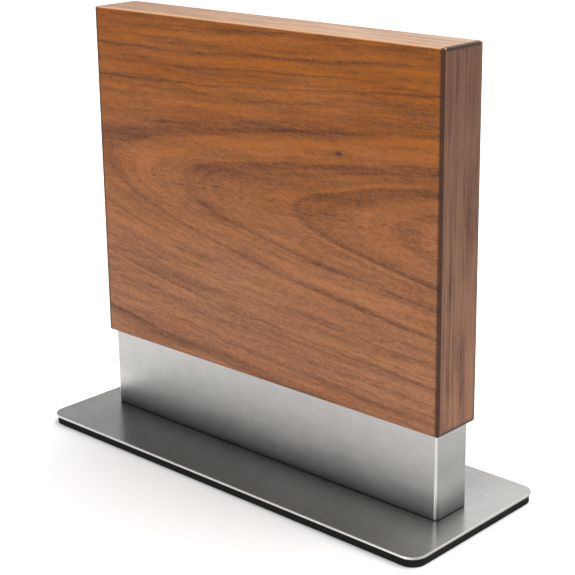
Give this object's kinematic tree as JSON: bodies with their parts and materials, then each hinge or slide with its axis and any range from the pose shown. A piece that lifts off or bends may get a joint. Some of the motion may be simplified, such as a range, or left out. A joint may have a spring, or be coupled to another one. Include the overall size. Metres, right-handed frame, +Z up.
{
  "type": "magnetic knife block",
  "caption": "Free-standing double-sided magnetic knife block: a walnut slab with magnets behind both faces, on a steel neck and base plate with a rubber mat.",
  "frame": {"origin": "on the ground under the middle of the base, at the rubber mat's underside", "axes": "+Z up, +X along the slab's length to the right, -Y towards the front face"},
  "size_m": [0.32, 0.12, 0.2846],
  "materials": {
    "walnut_face": "oiled walnut with a cathedral figure, satin",
    "walnut_edge": "oiled walnut edge strips, satin",
    "core_wood": "plain sawn core board, unfinished",
    "magnet_nickel": "nickel plated bar magnet",
    "backing_steel": "bare rolled mild steel",
    "brushed_steel": "stainless steel brushed along the length, with polished edges",
    "zinc_steel": "zinc plated steel fastener",
    "insert_brass": "turned brass",
    "black_rubber": "matt black rubber"
  },
  "bodies": {
    "root": {"front_leaf": "walnut_face", "rear_leaf": "walnut_face", "top_edge_strip": "walnut_edge", "bottom_edge_strip": "walnut_edge", "left_edge_strip": "walnut_edge", "right_edge_strip": "walnut_edge", "core_board": "core_wood", "front_magnet_top_1": "magnet_nickel", "front_magnet_top_2": "magnet_nickel", "front_magnet_top_3": "magnet_nickel", "front_magnet_top_4": "magnet_nickel", "front_magnet_middle_1": "magnet_nickel", "front_magnet_middle_2": "magnet_nickel", "front_magnet_middle_3": "magnet_nickel", "front_magnet_middle_4": "magnet_nickel", "front_magnet_bottom_1": "magnet_nickel", "front_magnet_bottom_2": "magnet_nickel", "front_magnet_bottom_3": "magnet_nickel", "front_magnet_bottom_4": "magnet_nickel", "rear_magnet_top_1": "magnet_nickel", "rear_magnet_top_2": "magnet_nickel", "rear_magnet_top_3": "magnet_nickel", "rear_magnet_top_4": "magnet_nickel", "rear_magnet_middle_1": "magnet_nickel", "rear_magnet_middle_2": "magnet_nickel", "rear_magnet_middle_3": "magnet_nickel", "rear_magnet_middle_4": "magnet_nickel", "rear_magnet_bottom_1": "magnet_nickel", "rear_magnet_bottom_2": "magnet_nickel", "rear_magnet_bottom_3": "magnet_nickel", "rear_magnet_bottom_4": "magnet_nickel", "front_backing_top": "backing_steel", "front_backing_middle": "backing_steel", "front_backing_bottom": "backing_steel", "rear_backing_top": "backing_steel", "rear_backing_middle": "backing_steel", "rear_backing_bottom": "backing_steel", "neck_shell": "brushed_steel", "base_plate": "brushed_steel", "neck_head_plate": "backing_steel", "neck_foot_plate": "backing_steel", "non_slip_mat": "black_rubber", "tie_bolt_left": "zinc_steel", "tie_bolt_middle": "zinc_steel", "tie_bolt_right": "zinc_steel", "washer_left": "zinc_steel", "washer_middle": "zinc_steel", "washer_right": "zinc_steel", "threaded_insert_left": "insert_brass", "threaded_insert_middle": "insert_brass", "threaded_insert_right": "insert_brass"}
  },
  "joints": []
}
